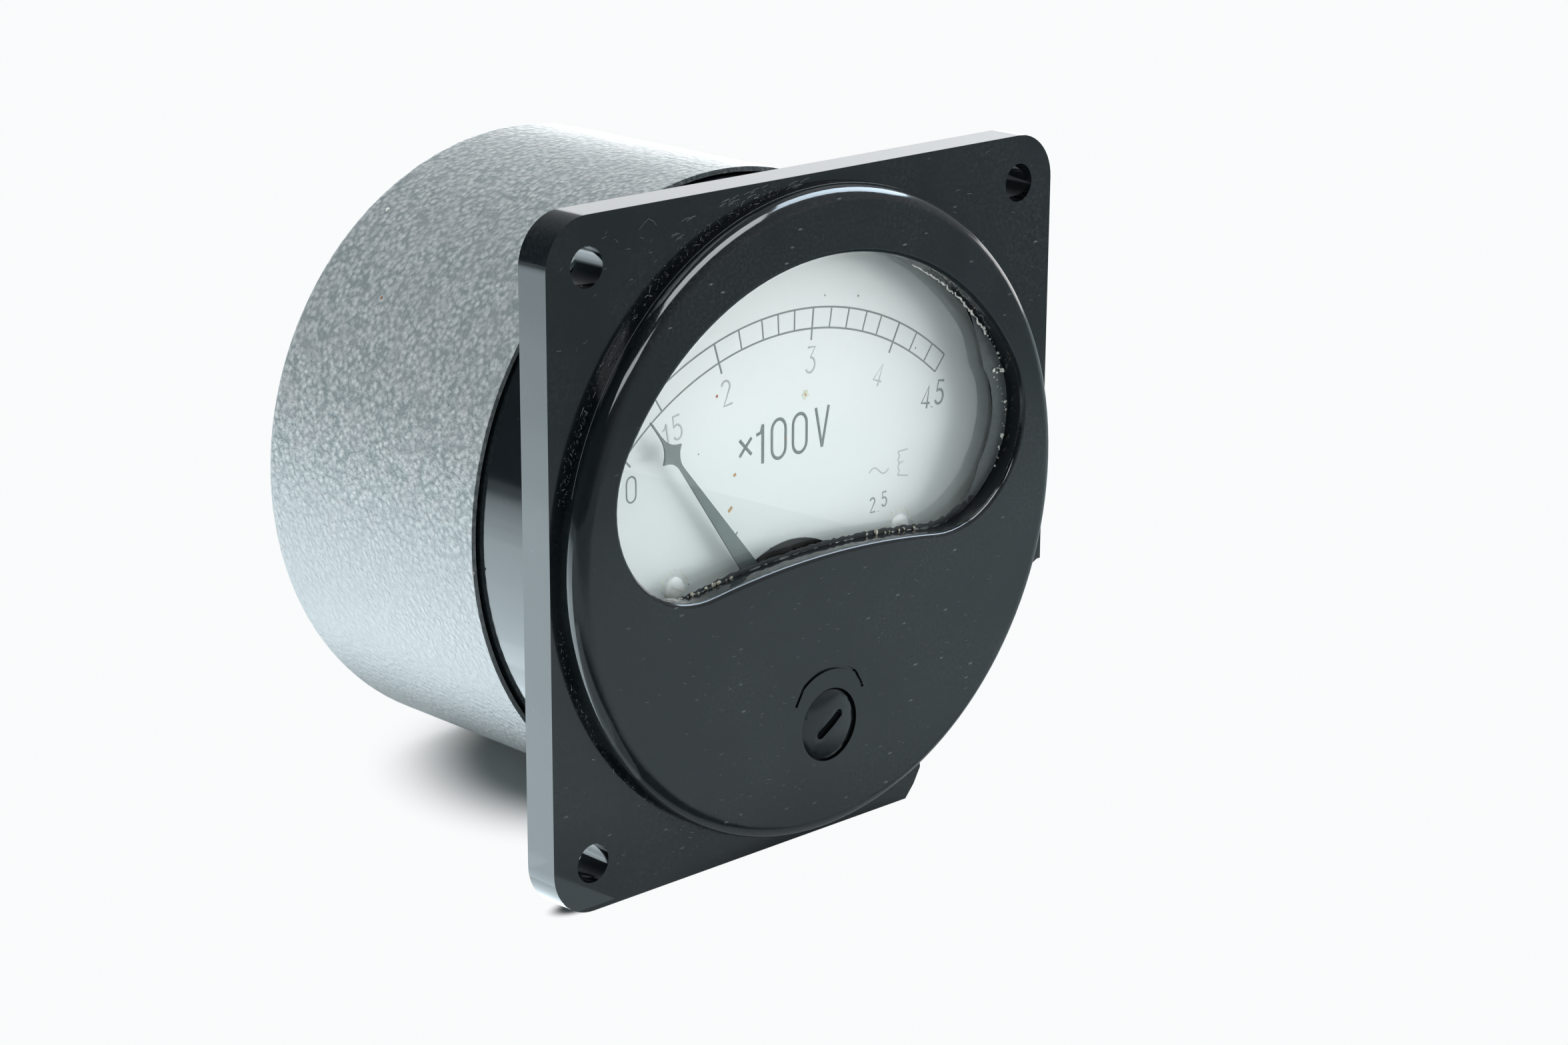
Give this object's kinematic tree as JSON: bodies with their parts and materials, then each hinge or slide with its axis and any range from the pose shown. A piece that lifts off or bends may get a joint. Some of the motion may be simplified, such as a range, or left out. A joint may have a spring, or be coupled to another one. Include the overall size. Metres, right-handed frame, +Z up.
{
  "type": "voltmeter",
  "caption": "Square-flange panel voltmeter: raised round front with a fan-shaped dial window and zero adjuster, moving-iron movement, grey can behind; a flange corner is broken off.",
  "frame": {"origin": "centre of the flange's back face, the face that seats on the panel", "axes": "+Z up, -Y the way the dial looks, +Y out through the terminals at the back, +X to the right of someone reading the dial"},
  "size_m": [0.08, 0.0718, 0.08],
  "materials": {
    "black_bakelite": "satin black phenolic moulding with lint and dust",
    "window_glass": "clear flat pane",
    "pane_cement": "pale yellow cement",
    "dial_white": "matt off-white paint, a little soiled",
    "hammer_paint": "grey hammer-finish enamel",
    "steel": "plain, a little dull",
    "brass": "turned brass, dull",
    "spring_bronze": "bright bronze strip",
    "pointer_grey": "dark grey-green, satin",
    "vane_aluminium": "bright sheet",
    "soft_iron": "dull iron sheet",
    "magnet": "cast magnet alloy",
    "coil_copper": "enamelled copper winding",
    "resistance_wire": "varnished resistance wire",
    "brown_phenolic": "brown phenolic, satin",
    "lead_insulation": "wire insulation, matt"
  },
  "bodies": {
    "base": {"housing": "black_bakelite", "glass": "window_glass", "glass_cement": "pane_cement", "dial": "dial_white", "dial_screw_left": "steel", "dial_screw_right": "steel", "lever_clip": "steel", "front_bridge": "brass", "bridge_screw_left": "steel", "bridge_screw_right": "steel", "front_jewel": "brass", "front_nut": "brass", "frame_plate": "steel", "frame_screw_left": "steel", "frame_screw_right": "steel", "frame_screw_low": "steel", "bobbin": "brown_phenolic", "coil": "coil_copper", "fixed_iron": "soft_iron", "rear_bridge": "brass", "rear_post_left": "brass", "rear_post_right": "brass", "rear_screw_left": "steel", "rear_screw_right": "steel", "rear_jewel": "brass", "rear_nut": "brass", "damper_magnet": "magnet", "resistor_spool": "brown_phenolic", "resistor_winding": "resistance_wire", "resistor_screw": "steel", "can": "hammer_paint", "can_post_left": "brass", "can_post_right": "brass", "can_screw_left": "steel", "can_screw_right": "steel", "stud_left": "brass", "stud_right": "brass", "bush_left": "brown_phenolic", "bush_right": "brown_phenolic", "inner_washer_left": "brown_phenolic", "inner_washer_right": "brown_phenolic", "nut_left": "brass", "nut_right": "brass", "clamp_nut_left": "brass", "clamp_nut_right": "brass", "lead_supply": "lead_insulation", "lead_link": "lead_insulation", "lead_return": "lead_insulation"},
    "moving_system": {"spindle": "steel", "pointer": "pointer_grey", "balance_weight_left": "brass", "balance_weight_right": "brass", "collet": "brass", "moving_iron": "soft_iron", "damper_vane": "vane_aluminium"},
    "zero_adjuster": {"zero_screw": "black_bakelite", "zero_clip": "steel"},
    "zero_lever": {"zero_lever": "brass", "hairspring": "spring_bronze"}
  },
  "joints": [
    {"name": "pointer_swing", "type": "hinge", "parent": "base", "child": "moving_system", "pos_m": [0, 0.012, -0.01636], "axis": [0, 1, 0], "range_deg": [-9.4, 80.1], "stiffness_Nm_per_rad": 0.0002, "deforming": ["hairspring"]},
    {"name": "zero_adjust", "type": "hinge", "parent": "base", "child": "zero_adjuster", "pos_m": [0, -0.006, -0.0254], "axis": [0, 1, 0], "range_deg": [-60, 60]},
    {"name": "lever_swing", "type": "hinge", "parent": "base", "child": "zero_lever", "pos_m": [0, 0.0009, -0.01636], "axis": [0, 1, 0], "range_deg": [-5.6, 5.6]}
  ],
  "couplings": [
    {"joint": "lever_swing", "follows": "zero_adjust", "ratio": 0.0925}
  ]
}
